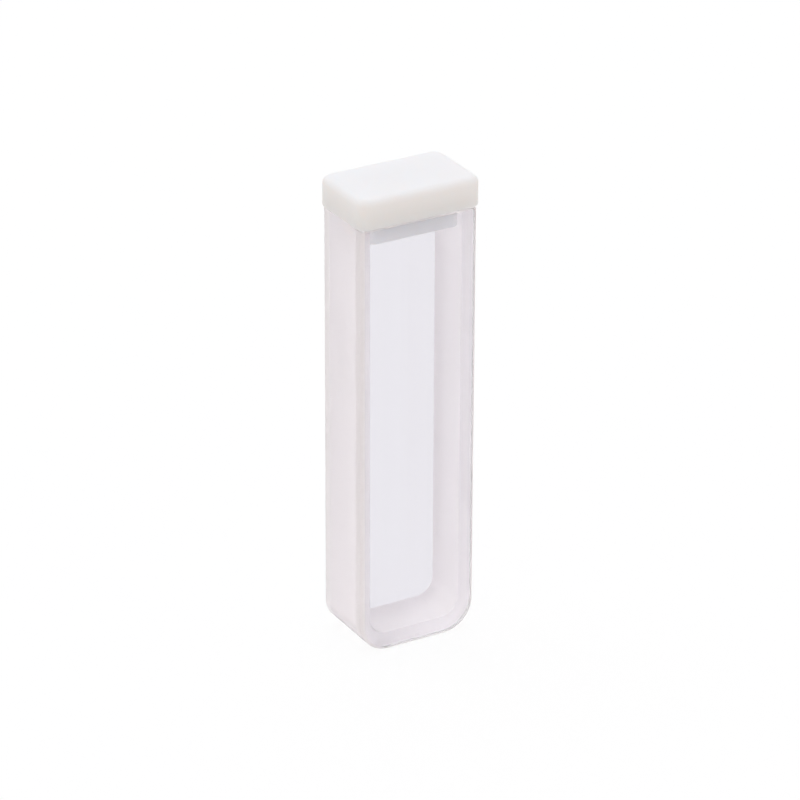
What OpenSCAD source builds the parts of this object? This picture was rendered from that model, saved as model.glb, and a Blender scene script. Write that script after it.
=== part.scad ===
// Short-path spectrophotometer cuvette with a push-in lid.
// A U-shaped ground frame is closed by two polished windows, and the lid's plug drops into the mouth.
// X runs across the windows, Y along the light path, Z up. The origin is the centre of the base.

/* [Cell] */
// Outside width, across the windows
cell_w = 12.5; // [10:0.5:20]
// Height of the glass, from base to rim
cell_h = 45; // [25:1:80]
// Light path, the inside distance from window to window
light_path = 5; // [4:0.5:20]

/* [Glass] */
// Thickness of each polished window
window_t = 1.25; // [0.8:0.05:2]
// Thickness of the frame's two side walls
side_t = 1.25; // [0.8:0.05:2]
// Thickness of the frame's floor
floor_t = 1.5; // [0.8:0.1:3]
// Outside radius of the two lower corners, seen from the front
corner_r = 3.1; // [1:0.1:4]
// Inside radius of the two lower corners of the cavity
cavity_r = 1.85; // [0.5:0.05:3]
// Bevel ground along the outer edges of the windows and the rim
edge_bevel = 0.3; // [0.1:0.05:0.5]

/* [Lid] */
// How far the lid stands out past the glass on each side
lid_overhang = 0.35; // [0.1:0.05:1]
// Thickness of the lid's plate above the rim
lid_t = 3; // [2:0.1:6]
// Radius of the plate's upright corners
lid_corner_r = 1.2; // [1:0.1:2.5]
// Radius along the plate's upper edge
lid_upper_r = 0.75; // [0.3:0.05:1]
// Radius along the plate's lower edge
lid_lower_r = 0.15; // [0.1:0.05:0.3]
// How far the plug reaches down into the cell
plug_depth = 2.25; // [1:0.05:6]
// Clearance between the plug and each inner wall
plug_clearance = 0.15; // [0.1:0.05:0.5]
// Radius of the plug's upright corners
plug_corner_r = 0.7; // [0.5:0.1:1.4]
// Radius along the plug's lower edge
plug_lower_r = 0.3; // [0.1:0.05:0.5]

/* [Hidden] */
$fn = 96;

inner_w = cell_w - 2 * side_t;
cell_d = light_path + 2 * window_t;
straight_w = cell_w - 2 * corner_r;
lid_w = cell_w + 2 * lid_overhang;
lid_d = cell_d + 2 * lid_overhang;
plug_w = inner_w - 2 * plug_clearance;
plug_d = light_path - 2 * plug_clearance;
// Reach of the cutters past the faces that they trim
cut = 1;

glass_polished = [0.91, 0.91, 0.93, 0.35];
glass_ground = [0.88, 0.86, 0.87, 0.8];
lid_white = [0.95, 0.95, 0.95];

// Upright outline with two rounded lower corners, standing on the X axis
module upright_outline(w, h, r) {
    translate([-w / 2, r]) square([w, h - r]);
    translate([-w / 2 + r, 0]) square([w - 2 * r, h]);
    for (side = [-1, 1])
        translate([side * (w / 2 - r), r]) circle(r);
}

// Front elevation of the glass with its two rim corners bevelled
module rim_bevelled_rectangle() {
    polygon([
        [-cell_w / 2, 0], [cell_w / 2, 0],
        [cell_w / 2, cell_h - edge_bevel], [cell_w / 2 - edge_bevel, cell_h],
        [-cell_w / 2 + edge_bevel, cell_h], [-cell_w / 2, cell_h - edge_bevel]
    ]);
}

// Section of a window of span s: a bar with its two outer edges bevelled
module bevelled_bar(s) {
    polygon([
        [0, 0], [s, 0], [s, window_t - edge_bevel],
        [s - edge_bevel, window_t], [edge_bevel, window_t], [0, window_t - edge_bevel]
    ]);
}

// Section from a lower corner's centre out to the window's bevelled edge
module bevelled_corner_section() {
    polygon([
        [0, 0], [corner_r, 0], [corner_r, window_t - edge_bevel],
        [corner_r - edge_bevel, window_t], [0, window_t]
    ]);
}

// Window lying flat: X across, Y up the cell, inner face at Z = 0 and polished outer face on top
module flat_window() {
    intersection() {
        translate([-cell_w / 2, cell_h, 0]) rotate([90, 0, 0])
            linear_extrude(cell_h - corner_r) bevelled_bar(cell_w);
        translate([-cell_w / 2, 0, 0]) rotate([90, 0, 90])
            linear_extrude(cell_w) bevelled_bar(cell_h);
        linear_extrude(window_t) rim_bevelled_rectangle();
    }
    translate([-straight_w / 2, 0, 0]) rotate([90, 0, 90])
        linear_extrude(straight_w) bevelled_bar(cell_h);
    for (corner = [[-1, 180], [1, 270]])
        translate([corner[0] * straight_w / 2, corner_r, 0]) rotate(corner[1])
            rotate_extrude(angle = 90) bevelled_corner_section();
}

// U-shaped frame of ground glass: both side walls and the floor in one piece
module side_frame() {
    color(glass_ground)
    translate([0, light_path / 2, 0]) rotate([90, 0, 0])
        linear_extrude(light_path) difference() {
            intersection() {
                upright_outline(cell_w, cell_h, corner_r);
                rim_bevelled_rectangle();
            }
            translate([0, floor_t]) upright_outline(inner_w, cell_h, cavity_r);
        }
}

// Polished window on the near side of the frame
module front_window() {
    color(glass_polished)
    translate([0, -light_path / 2, 0]) rotate([90, 0, 0]) flat_window();
}

// Polished window on the far side of the frame
module rear_window() {
    color(glass_polished)
    mirror([0, 1, 0])
        translate([0, -light_path / 2, 0]) rotate([90, 0, 0]) flat_window();
}

// What is cut away outside a rounded corner of radius r, whose sharp tip is at the origin
module corner_waste(r) {
    translate([-r, -r]) difference() {
        square(r + cut);
        circle(r);
    }
}

// Section of a block from its middle out to its edge, with the upper and lower edges rounded
module edge_section(reach, t, upper_r, lower_r) {
    difference() {
        square([reach, t]);
        if (upper_r > 0)
            translate([reach, t]) corner_waste(upper_r);
        if (lower_r > 0)
            translate([reach, 0]) mirror([0, 1]) corner_waste(lower_r);
    }
}

// The same section carried across the whole block
module full_section(span, t, upper_r, lower_r) {
    for (side = [0, 1])
        mirror([side, 0]) edge_section(span / 2, t, upper_r, lower_r);
}

// Block standing on Z = 0 with rounded upright corners and rounded upper and lower edges
module rounded_block(w, d, t, corner, upper_r, lower_r) {
    rotate([90, 0, 90])
        linear_extrude(w - 2 * corner, center = true) full_section(d, t, upper_r, lower_r);
    rotate([90, 0, 0])
        linear_extrude(d - 2 * corner, center = true) full_section(w, t, upper_r, lower_r);
    for (place = [[1, 1, 0], [-1, 1, 90], [-1, -1, 180], [1, -1, 270]])
        translate([place[0] * (w / 2 - corner), place[1] * (d / 2 - corner), 0]) rotate(place[2])
            rotate_extrude(angle = 90) edge_section(corner, t, upper_r, lower_r);
}

// Lid of white fluoropolymer: a plate that rests on the rim and a plug that hangs in the mouth
module lid() {
    color(lid_white)
    translate([0, 0, cell_h]) {
        rounded_block(lid_w, lid_d, lid_t, lid_corner_r, lid_upper_r, lid_lower_r);
        translate([0, 0, -plug_depth])
            rounded_block(plug_w, plug_d, plug_depth + lid_t / 2, plug_corner_r, 0, plug_lower_r);
    }
}

side_frame();
front_window();
rear_window();
lid();
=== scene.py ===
import math

import bmesh
import bpy
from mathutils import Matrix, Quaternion, Vector


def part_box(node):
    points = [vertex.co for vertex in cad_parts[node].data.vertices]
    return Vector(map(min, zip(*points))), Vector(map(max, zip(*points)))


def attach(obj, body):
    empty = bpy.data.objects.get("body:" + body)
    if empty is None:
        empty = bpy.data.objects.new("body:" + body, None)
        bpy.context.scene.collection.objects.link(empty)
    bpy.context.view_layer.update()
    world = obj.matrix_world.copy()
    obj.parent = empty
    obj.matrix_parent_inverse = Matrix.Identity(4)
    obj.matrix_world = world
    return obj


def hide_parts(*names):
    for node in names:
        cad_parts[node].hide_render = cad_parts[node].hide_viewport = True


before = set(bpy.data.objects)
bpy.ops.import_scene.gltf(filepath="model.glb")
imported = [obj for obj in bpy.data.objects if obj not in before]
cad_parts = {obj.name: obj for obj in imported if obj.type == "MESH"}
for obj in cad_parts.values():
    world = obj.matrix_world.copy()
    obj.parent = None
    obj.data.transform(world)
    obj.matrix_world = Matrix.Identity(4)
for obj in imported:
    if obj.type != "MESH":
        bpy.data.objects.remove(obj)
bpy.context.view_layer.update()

# The frame. A U of fused quartz, ground matt all over: both side walls and the floor in one piece. The
# windows are sintered to it without a step, so the cell starts as one blank in millimetres, with its
# pocket, rounded lower corners and bevels, and the frame is sawn out of it at the two seams.
X, Y, Z = range(3)
MM_PER_M = 1000.0
window_low, window_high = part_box("front_window")
frame_low, frame_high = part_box("side_frame")
cell_width = (window_high[X] - window_low[X]) * MM_PER_M
cell_height = window_high[Z] * MM_PER_M
cell_depth = -2 * window_low[Y] * MM_PER_M
light_path = (frame_high[Y] - frame_low[Y]) * MM_PER_M
wall = (cell_depth - light_path) / 2
floor_thickness = 1.5
outer_corner_radius = 3.1
cavity_corner_radius = 1.85
edge_bevel = 0.3
# Places closer together than this count as the same place.
NEAR = 0.001


def start_block(name, size, centre):
    """Adds a block in millimetres, with its place in its mesh, and opens it in edit mode."""
    bpy.ops.object.select_all(action="DESELECT")
    bpy.ops.mesh.primitive_cube_add(size=1, location=centre, scale=size)
    block = bpy.context.object
    block.name = name
    block.data.name = name
    bpy.ops.object.transform_apply(location=True, rotation=True, scale=True)
    bpy.ops.object.mode_set(mode="EDIT")
    bpy.ops.mesh.select_all(action="DESELECT")
    return block


def pick(kind, wanted):
    """Selects the open mesh's edges or faces that wanted says yes to, from the corners and the part."""
    bpy.ops.mesh.select_mode(type="EDGE" if kind == "edges" else "FACE")
    bpy.ops.mesh.select_all(action="DESELECT")
    mesh = bmesh.from_edit_mesh(bpy.context.edit_object.data)
    for part in getattr(mesh, kind):
        part.select_set(wanted([v.co for v in part.verts], part))
    bmesh.update_edit_mesh(bpy.context.edit_object.data)


def all_at(points, axis, value):
    """True if every point is at that value on the axis."""
    return all(abs(p[axis] - value) < NEAR for p in points)


def all_off(points, axis, value):
    """True if every point is that far off the middle on the axis, to either side."""
    return all(abs(abs(p[axis]) - value) < NEAR for p in points)


def runs_along(points, axis):
    """True for the two ends of an edge that is parallel to the axis."""
    return all(abs(points[0][other] - points[1][other]) < NEAR for other in range(3) if other != axis)


def sink(height):
    """Extrudes the picked face straight up by that height, or down where it is negative."""
    bpy.ops.mesh.extrude_region_move(TRANSFORM_OT_translate={"value": (0, 0, height)})


def ease(size, steps):
    """Bevels the picked edges. One step cuts them flat, and more steps make them round."""
    bpy.ops.mesh.bevel(offset=size, segments=steps, clamp_overlap=False)


def finish_block(block, crease):
    """Closes edit mode, brings the piece to metres and smooths the faces that meet below the crease."""
    bpy.ops.mesh.select_all(action="SELECT")
    bpy.ops.mesh.remove_doubles(threshold=NEAR)
    bpy.ops.mesh.normals_make_consistent(inside=False)
    bpy.ops.object.mode_set(mode="OBJECT")
    block.scale = (1 / MM_PER_M, 1 / MM_PER_M, 1 / MM_PER_M)
    bpy.ops.object.transform_apply(location=True, rotation=True, scale=True)
    bpy.ops.object.shade_smooth_by_angle(angle=crease)


blank = start_block("cell_blank", (cell_width, cell_depth, cell_height), (0, 0, cell_height / 2))
half_width = cell_width / 2
half_depth = cell_depth / 2
cavity_half_width = half_width - wall
pick("faces", lambda points, face: all_at(points, Z, cell_height))
bpy.ops.mesh.inset(thickness=wall)
sink(floor_thickness - cell_height)
pick("edges", lambda points, edge: runs_along(points, Y)
     and all_off(points, X, half_width) and all_at(points, Z, 0))
ease(outer_corner_radius, steps=24)
pick("edges", lambda points, edge: runs_along(points, Y)
     and all_off(points, X, cavity_half_width) and all_at(points, Z, floor_thickness))
ease(cavity_corner_radius, steps=16)
# The bevel takes both windows' outlines and the two short edges of the rim.
pick("edges", lambda points, edge: (all_off(points, X, half_width) and all_at(points, Z, cell_height))
     if runs_along(points, Y) else all_off(points, Y, half_depth))
ease(edge_bevel, steps=1)
bpy.ops.object.mode_set(mode="OBJECT")


def saw(name, cuts):
    """Copies the blank and saws it at each depth, keeping the side that the direction points to."""
    bpy.ops.object.select_all(action="DESELECT")
    blank.select_set(True)
    bpy.context.view_layer.objects.active = blank
    bpy.ops.object.duplicate()
    piece = bpy.context.object
    piece.name = name
    piece.data.name = name
    bpy.ops.object.mode_set(mode="EDIT")
    for depth, direction in cuts:
        bpy.ops.mesh.select_all(action="SELECT")
        bpy.ops.mesh.bisect(plane_co=(0, depth, 0), plane_no=(0, direction, 0), use_fill=True,
                            clear_inner=True, threshold=NEAR)
    return piece


# The seam is a hair of air, so that the frame's matt face shows milky behind the clear window, as a
# sintered joint does.
SEAM_HALF_GAP = 0.01
GLASS_CREASE = math.radians(20)
seam = light_path / 2
u_frame = saw("ground_frame", [(SEAM_HALF_GAP - seam, 1), (seam - SEAM_HALF_GAP, -1)])
finish_block(u_frame, GLASS_CREASE)


def linear(hex_colour):
    """Turns an sRGB hex colour into the linear colour that a shader takes."""
    channels = [int(hex_colour[i:i + 2], 16) / 255 for i in (0, 2, 4)]
    return [c / 12.92 if c <= 0.04045 else ((c + 0.055) / 1.055) ** 2.4 for c in channels] + [1]


def add(tree, kind, inputs=None, **settings):
    """Adds a node with its settings. An input is a value, or the socket that it is linked from."""
    made = tree.nodes.new(kind)
    for setting, value in settings.items():
        setattr(made, setting, value)
    for socket, value in (inputs or {}).items():
        if isinstance(value, bpy.types.NodeSocket):
            tree.links.new(value, made.inputs[socket])
        else:
            made.inputs[socket].default_value = value
    return made


def new_material(name):
    """Starts an empty material and gives it back with its node tree."""
    material = bpy.data.materials.new(name)
    material.use_nodes = True
    material.node_tree.nodes.clear()
    return material, material.node_tree


# A Mix node repeats its socket names for each kind of value, so its colour sockets go by number.
MIX_FACTOR = 0
MIX_A = 6
MIX_B = 7
MIX_COLOUR = 2

# Fused quartz, finely ground: the grit leaves a matt skin of tiny pits that scatters the light, so the
# walls glow milky, throw a little light back and let only soft shapes through. The pits are drawn
# coarser than they are, to show.
QUARTZ_IOR = 1.46
PIT_MM = 0.12
PIT_DEPTH_MM = 0.02
CLOUD_MM = 4.0
FINE_LETS_THROUGH = 0.95


def ground_glass(name, let_through):
    """Makes matt quartz, whose pits let that share of the light through and throw the rest back."""
    material, tree = new_material(name)
    place = add(tree, "ShaderNodeTexCoord").outputs["Object"]
    pits = add(tree, "ShaderNodeTexNoise", {"Vector": place, "Scale": MM_PER_M / PIT_MM, "Detail": 2})
    cloud = add(tree, "ShaderNodeTexNoise", {"Vector": place, "Scale": MM_PER_M / CLOUD_MM, "Detail": 3})
    skin = add(tree, "ShaderNodeBump", {
        "Height": pits.outputs["Fac"], "Strength": 0.15, "Distance": PIT_DEPTH_MM / MM_PER_M})
    milk = add(tree, "ShaderNodeMix", {
        MIX_FACTOR: cloud.outputs["Fac"], MIX_A: linear("FEFAFB"), MIX_B: linear("FFFCFC")},
        data_type="RGBA")
    grit = add(tree, "ShaderNodeMapRange", {
        "Value": cloud.outputs["Fac"], "To Min": 0.75, "To Max": 0.9})
    surface = add(tree, "ShaderNodeBsdfPrincipled", {
        "Base Color": milk.outputs[MIX_COLOUR], "Roughness": grit.outputs["Result"], "IOR": QUARTZ_IOR,
        "Transmission Weight": let_through, "Normal": skin.outputs["Normal"]})
    add(tree, "ShaderNodeOutputMaterial", {"Surface": surface.outputs["BSDF"]})
    return material


ground_quartz = ground_glass("ground_quartz", FINE_LETS_THROUGH)
u_frame.data.materials.append(ground_quartz)
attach(u_frame, "root")
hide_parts("side_frame")

# The windows. Two plane plates of fused quartz, sintered to the front and the rear of the frame. Both
# faces are polished for the light beam, and the edges and bevels are ground matt.
POLISHED_FACE = 0
GROUND_EDGE = 1
# A face whose normal lies this nearly along the beam is a polished one.
ALONG_BEAM = 0.9

# Fused quartz, optically polished: clear and mirror smooth, so the eye gets only the pale tint of two
# plates, thin reflections and a breath of wiping haze.
WIPE_MM = 6.0
polished_quartz, tree = new_material("polished_quartz")
place = add(tree, "ShaderNodeTexCoord").outputs["Object"]
wipe = add(tree, "ShaderNodeTexNoise", {"Vector": place, "Scale": MM_PER_M / WIPE_MM, "Detail": 3})
haze = add(tree, "ShaderNodeMapRange", {
    "Value": wipe.outputs["Fac"], "From Min": 0.4, "From Max": 0.8, "To Min": 0.0, "To Max": 0.03})
surface = add(tree, "ShaderNodeBsdfPrincipled", {
    "Base Color": linear("F2F1F4"), "Roughness": haze.outputs["Result"], "IOR": QUARTZ_IOR,
    "Transmission Weight": 1.0})
add(tree, "ShaderNodeOutputMaterial", {"Surface": surface.outputs["BSDF"]})

# Fused quartz, coarsely ground: the plates' edges and bevels throw back more light than the frame, which
# keeps them as grey as the matt wall beside them, although the clear plate behind them is full of light.
COARSE_LETS_THROUGH = 0.65
coarse_quartz = ground_glass("coarsely_ground_quartz", COARSE_LETS_THROUGH)

for node, side in (("front_window", -1), ("rear_window", 1)):
    pane = saw(node + "_pane", [(side * (seam + SEAM_HALF_GAP), side)])
    pane_mesh = bmesh.from_edit_mesh(pane.data)
    pane_mesh.normal_update()
    for face in pane_mesh.faces:
        face.material_index = POLISHED_FACE if abs(face.normal.y) > ALONG_BEAM else GROUND_EDGE
    bmesh.update_edit_mesh(pane.data)
    finish_block(pane, GLASS_CREASE)
    pane.data.materials.append(polished_quartz)
    pane.data.materials.append(coarse_quartz)
    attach(pane, "root")
    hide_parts(node)
bpy.data.meshes.remove(blank.data)

# The lid. One piece of white PTFE, pressed or cut from bar: a plate with soft upper edges that rests on
# the rim, and a shallow plug below it that hangs loosely in the mouth.
lid_low, lid_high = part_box("lid")
lid_width = (lid_high[X] - lid_low[X]) * MM_PER_M
lid_depth = (lid_high[Y] - lid_low[Y]) * MM_PER_M
lid_top = lid_high[Z] * MM_PER_M
plug_bottom = lid_low[Z] * MM_PER_M
plug_clearance = 0.15
plug_half_width = cavity_half_width - plug_clearance
plug_half_depth = light_path / 2 - plug_clearance
lid_corner_radius = 1.2
lid_upper_radius = 0.75
lid_lower_radius = 0.15
plug_corner_radius = 0.7
plug_lower_radius = 0.3
LID_CREASE = math.radians(35)

lid = start_block(
    "lid_cap", (lid_width, lid_depth, lid_top - cell_height), (0, 0, (lid_top + cell_height) / 2))
pick("faces", lambda points, face: all_at(points, Z, cell_height))
bpy.ops.mesh.inset(thickness=lid_width / 2 - plug_half_width)
sink(plug_bottom - cell_height)
pick("edges", lambda points, edge: runs_along(points, Z)
     and all_off(points, X, lid_width / 2) and all_off(points, Y, lid_depth / 2))
ease(lid_corner_radius, steps=12)
pick("edges", lambda points, edge: runs_along(points, Z)
     and all_off(points, X, plug_half_width) and all_off(points, Y, plug_half_depth))
ease(plug_corner_radius, steps=8)


def is_rim(edge, height):
    """True for an edge at that height between an upright face and a level one."""
    slopes = sorted(abs(face.normal.z) for face in edge.link_faces)
    return all_at([v.co for v in edge.verts], Z, height) and slopes[0] < 0.5 < slopes[1]


def outside_plug(points):
    """True if any point lies outside the plug's outline."""
    return any(abs(p.x) > plug_half_width + NEAR or abs(p.y) > plug_half_depth + NEAR
               for p in points)


pick("edges", lambda points, edge: is_rim(edge, lid_top))
ease(lid_upper_radius, steps=10)
pick("edges", lambda points, edge: is_rim(edge, cell_height) and outside_plug(points))
ease(lid_lower_radius, steps=3)
pick("edges", lambda points, edge: is_rim(edge, plug_bottom))
ease(plug_lower_radius, steps=4)
finish_block(lid, LID_CREASE)

# PTFE: a dense waxy white. Light sinks a little way in and softens the edges, the surface is satin and
# shows a faint pressed grain, drawn coarser than it is so that it shows.
PTFE_IOR = 1.35
GRAIN_MM = 0.3
GRAIN_DEPTH_MM = 0.03
MOTTLE_MM = 2.5
LIGHT_SINKS_MM = 2.0
white_ptfe, tree = new_material("white_ptfe")
place = add(tree, "ShaderNodeTexCoord").outputs["Object"]
grain = add(tree, "ShaderNodeTexNoise", {"Vector": place, "Scale": MM_PER_M / GRAIN_MM, "Detail": 3})
mottle = add(tree, "ShaderNodeTexNoise", {"Vector": place, "Scale": MM_PER_M / MOTTLE_MM, "Detail": 4})
pressed = add(tree, "ShaderNodeBump", {
    "Height": grain.outputs["Fac"], "Strength": 0.2, "Distance": GRAIN_DEPTH_MM / MM_PER_M})
white = add(tree, "ShaderNodeMix", {
    MIX_FACTOR: mottle.outputs["Fac"], MIX_A: linear("FAF8F6"), MIX_B: linear("FDFBFA")},
    data_type="RGBA")
satin = add(tree, "ShaderNodeMapRange", {
    "Value": grain.outputs["Fac"], "To Min": 0.45, "To Max": 0.6})
surface = add(tree, "ShaderNodeBsdfPrincipled", {
    "Base Color": white.outputs[MIX_COLOUR], "Roughness": satin.outputs["Result"], "IOR": PTFE_IOR,
    "Subsurface Weight": 1.0, "Subsurface Radius": (1.0, 0.9, 0.85),
    "Subsurface Scale": LIGHT_SINKS_MM / MM_PER_M, "Normal": pressed.outputs["Normal"]})
add(tree, "ShaderNodeOutputMaterial", {"Surface": surface.outputs["BSDF"]})

lid.data.materials.append(white_ptfe)
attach(lid, "root")
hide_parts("lid")

# The camera. A long lens looks down at the cell's front window from its left, as in the photograph.
camera_eye = Vector((-0.1930, -0.3332, 0.2094))
camera_target = Vector((0.00006, 0, 0.02457))
camera_roll = 0.0039
camera_data = bpy.data.cameras.new("camera")
camera_data.sensor_width = 36
camera_data.lens = 200.1
camera_data.clip_start = 0.01
camera = bpy.data.objects.new("camera", camera_data)
camera.location = camera_eye
level_aim = (camera_target - camera_eye).to_track_quat("-Z", "Y")
camera.rotation_euler = (level_aim @ Quaternion((0, 0, 1), camera_roll)).to_euler()
bpy.context.collection.objects.link(camera)
bpy.context.scene.camera = camera

# The bench and the light. A white bench under a large overhead softbox in a bright room. The bench and
# the room show as white to the camera and through the glass, and light the cell at a plain level.
BENCH_SIZE = 6.0
BENCH_GAP = 0.00003
# The bench's glow as light on the cell, through the glass, and in plain view. There it is a touch dimmer
# than through the glass, so that it shows the cell's shadow.
GLOW_ON_CELL = 0.71
GLOW_THROUGH_GLASS = 0.93
GLOW_IN_VIEW = 0.895
bpy.ops.object.select_all(action="DESELECT")
bpy.ops.mesh.primitive_plane_add(size=BENCH_SIZE, location=(0, 0, -BENCH_GAP))
bench = bpy.context.object
bench.name = "bench"
white_bench, tree = new_material("white_bench")
rays = add(tree, "ShaderNodeLightPath")


def seen_white(tree, rays):
    """One for a ray from the camera, a reflection or glass, and nought for light on the object."""
    mirrored = add(tree, "ShaderNodeMath", {
        0: rays.outputs["Is Camera Ray"], 1: rays.outputs["Is Glossy Ray"]}, operation="MAXIMUM")
    return add(tree, "ShaderNodeMath", {
        0: mirrored.outputs["Value"], 1: rays.outputs["Is Transmission Ray"]},
        operation="MAXIMUM").outputs["Value"]


seen = add(tree, "ShaderNodeMapRange", {
    "Value": rays.outputs["Is Camera Ray"], "To Min": GLOW_THROUGH_GLASS, "To Max": GLOW_IN_VIEW})
lift = add(tree, "ShaderNodeMapRange", {
    "Value": seen_white(tree, rays), "To Min": GLOW_ON_CELL, "To Max": seen.outputs["Result"]})
glow = add(tree, "ShaderNodeEmission", {"Color": linear("FFFFFF"), "Strength": lift.outputs["Result"]})
matt = add(tree, "ShaderNodeBsdfDiffuse", {"Color": linear("606060")})
both = add(tree, "ShaderNodeAddShader", {0: matt.outputs["BSDF"], 1: glow.outputs["Emission"]})
add(tree, "ShaderNodeOutputMaterial", {"Surface": both.outputs["Shader"]})
bench.data.materials.append(white_bench)

room = bpy.data.worlds.new("bright_room")
bpy.context.scene.world = room
room.use_nodes = True
room.node_tree.nodes.clear()
tree = room.node_tree
rays = add(tree, "ShaderNodeLightPath")
walls = add(tree, "ShaderNodeMix", {
    MIX_FACTOR: seen_white(tree, rays), MIX_A: linear("D8CABF"), MIX_B: linear("FFFFFF")},
    data_type="RGBA")
air = add(tree, "ShaderNodeBackground", {"Color": walls.outputs[MIX_COLOUR]})
add(tree, "ShaderNodeOutputWorld", {"Surface": air.outputs["Background"]})

SOFTBOX_SIDE = 0.9
SOFTBOX_WATTS = 4.4
softbox_place = Vector((0, 0.15, 0.9))
softbox_aim = Vector((0, 0, 0))
softbox_data = bpy.data.lights.new("softbox", "AREA")
softbox_data.shape = "RECTANGLE"
softbox_data.size = SOFTBOX_SIDE
softbox_data.size_y = SOFTBOX_SIDE
softbox_data.energy = SOFTBOX_WATTS
softbox_data.color = linear("C5E4FF")[:3]
softbox = bpy.data.objects.new("softbox", softbox_data)
softbox.location = softbox_place
softbox.rotation_euler = (softbox_aim - softbox_place).to_track_quat("-Z", "Y").to_euler()
bpy.context.collection.objects.link(softbox)

# Light crosses many matt and clear faces on its way through the cell, so it is followed for long. The
# plug and the inner walls are lit through the windows, which the full glossy filter would dim.
bpy.context.scene.view_settings.view_transform = "Standard"
bpy.context.scene.cycles.max_bounces = 32
bpy.context.scene.cycles.glossy_bounces = 24
bpy.context.scene.cycles.transmission_bounces = 32
bpy.context.scene.cycles.blur_glossy = 0.3
